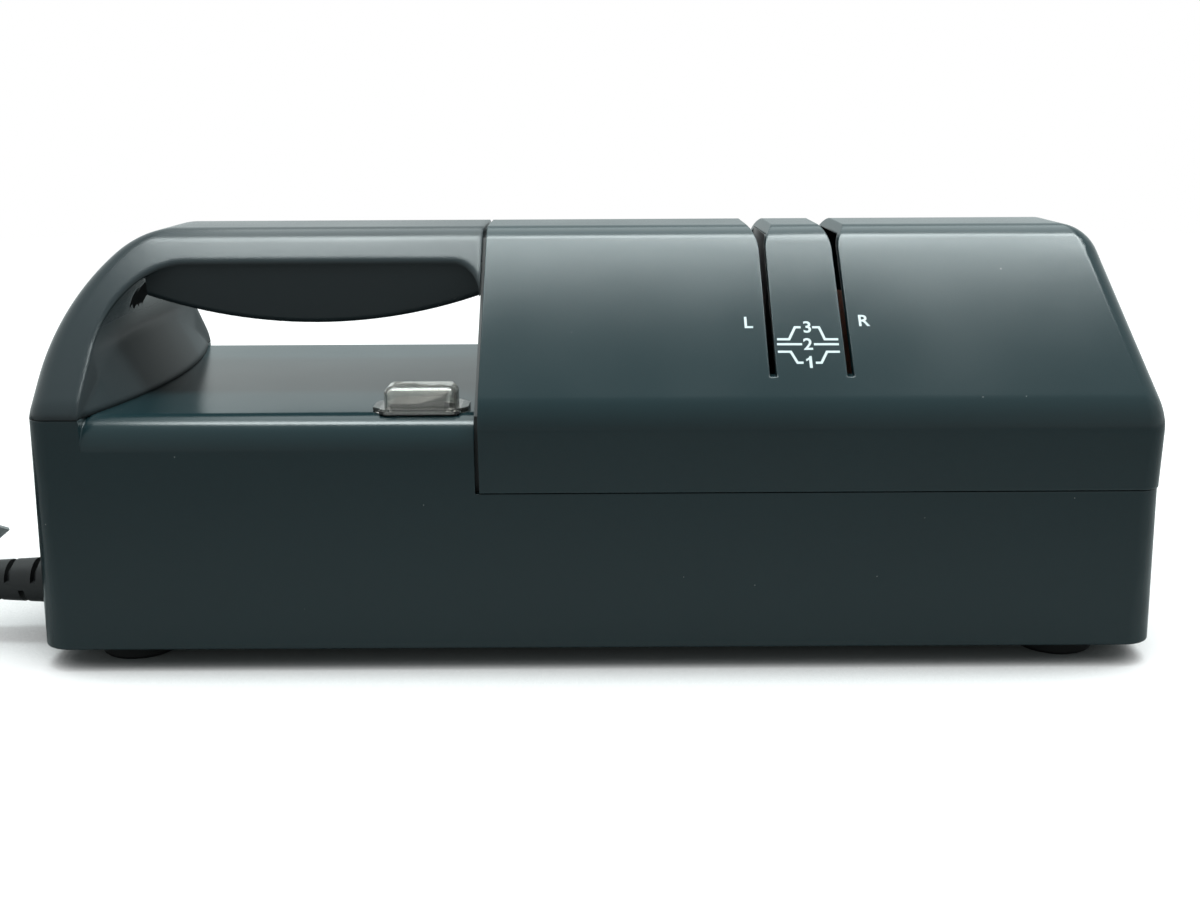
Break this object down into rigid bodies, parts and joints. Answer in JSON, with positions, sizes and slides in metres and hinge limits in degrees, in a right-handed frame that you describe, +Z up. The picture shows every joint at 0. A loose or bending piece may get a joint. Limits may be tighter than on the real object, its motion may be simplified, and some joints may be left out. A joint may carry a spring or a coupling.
{
  "type": "electric knife sharpener",
  "caption": "Countertop electric knife sharpener: moulded base with carrying handle, slotted lift-off cover over grinding wheels, booted rocker switch and mains lead.",
  "frame": {"origin": "centre of the base's footprint, at the height on which the feet stand", "axes": "+X towards the end with the slotted cover, +Y away from the side with the switch, +Z up"},
  "size_m": [0.5016, 0.134, 0.127],
  "materials": {
    "housing": "dark grey-green moulded plastic, fine grain",
    "housing_black": "black moulded plastic",
    "grip": "dark moulded plastic, smooth",
    "plate": "black moulded plastic, satin",
    "rubber": "black rubber",
    "boot": "clear flexible vinyl over a dark rocker",
    "lead": "black vinyl lead",
    "tie": "grey plastic strap",
    "screws": "zinc plated steel",
    "brass": "brass",
    "blades": "nickel plated brass",
    "steel": "ground steel",
    "laminations": "stacked electrical steel",
    "windings": "enamelled copper wire",
    "brackets": "die cast aluminium",
    "stand": "die cast aluminium",
    "abrasive": "bonded reddish brown abrasive",
    "magnets": "sintered ferrite",
    "guide": "low friction moulded plastic",
    "fan": "natural nylon",
    "switch": "black phenolic",
    "rocker": "black glossy plastic",
    "component": "yellow moulded case",
    "terminal": "natural nylon terminal block",
    "wires": "vinyl insulated wire"
  },
  "bodies": {
    "root": {"base_housing": "housing", "bottom_plate": "plate", "rubber_feet": "rubber", "foot_screws": "screws", "bulkhead": "housing_black", "wire_grommet": "rubber", "handle_shell": "housing", "handle_grip": "grip", "handle_screws": "screws", "plate_screws": "screws", "stator_core": "laminations", "stator_windings": "windings", "motor_bracket_left": "brackets", "motor_bracket_right": "brackets", "tie_bolts": "screws", "motor_cushions": "rubber", "bearing_outer_rings": "steel", "thermal_cutout": "switch", "bearing_stand": "stand", "switch_body": "switch", "switch_boot": "boot", "switch_terminals": "brass", "terminal_block": "terminal", "suppression_capacitor": "component", "cord_clamp": "terminal", "inner_lead": "lead", "hook_up_wires": "wires", "strain_relief": "lead", "power_cord": "lead", "cord_coil": "lead", "plug_lead": "lead", "cord_tie": "tie", "plug_body": "lead", "plug_pins": "blades"},
    "cover": {"cover": "housing", "cover_insert": "brass", "guide_block": "guide", "guide_magnets": "magnets"},
    "cover_screw": {"cover_screw": "screws", "screw_clip": "steel"},
    "spindle": {"spindle_shaft": "steel", "rotor_core": "laminations", "cooling_fan": "fan", "bearing_inner_rings": "steel", "grinding_wheel_left": "abrasive", "grinding_wheel_right": "abrasive", "wheel_flanges": "steel", "wheel_spacer": "steel", "lock_nut": "screws"},
    "rocker": {"rocker": "rocker"}
  },
  "joints": [
    {"name": "spindle_spin", "type": "hinge", "parent": "root", "child": "spindle", "pos_m": [0, 0, 0.06], "axis": [1, 0, 0], "continuous": true},
    {"name": "cover_lift", "type": "slide", "parent": "root", "child": "cover", "axis": [0, 0, 1], "range_m": [0, 0.08]},
    {"name": "cover_screw_turn", "type": "hinge", "parent": "root", "child": "cover_screw", "pos_m": [0.13, 0, 0], "axis": [0, 0, 1], "continuous": true},
    {"name": "rocker_tilt", "type": "hinge", "parent": "root", "child": "rocker", "pos_m": [-0.0515, -0.051, 0.0755], "axis": [0, 1, 0], "range_deg": [0, 16]}
  ]
}
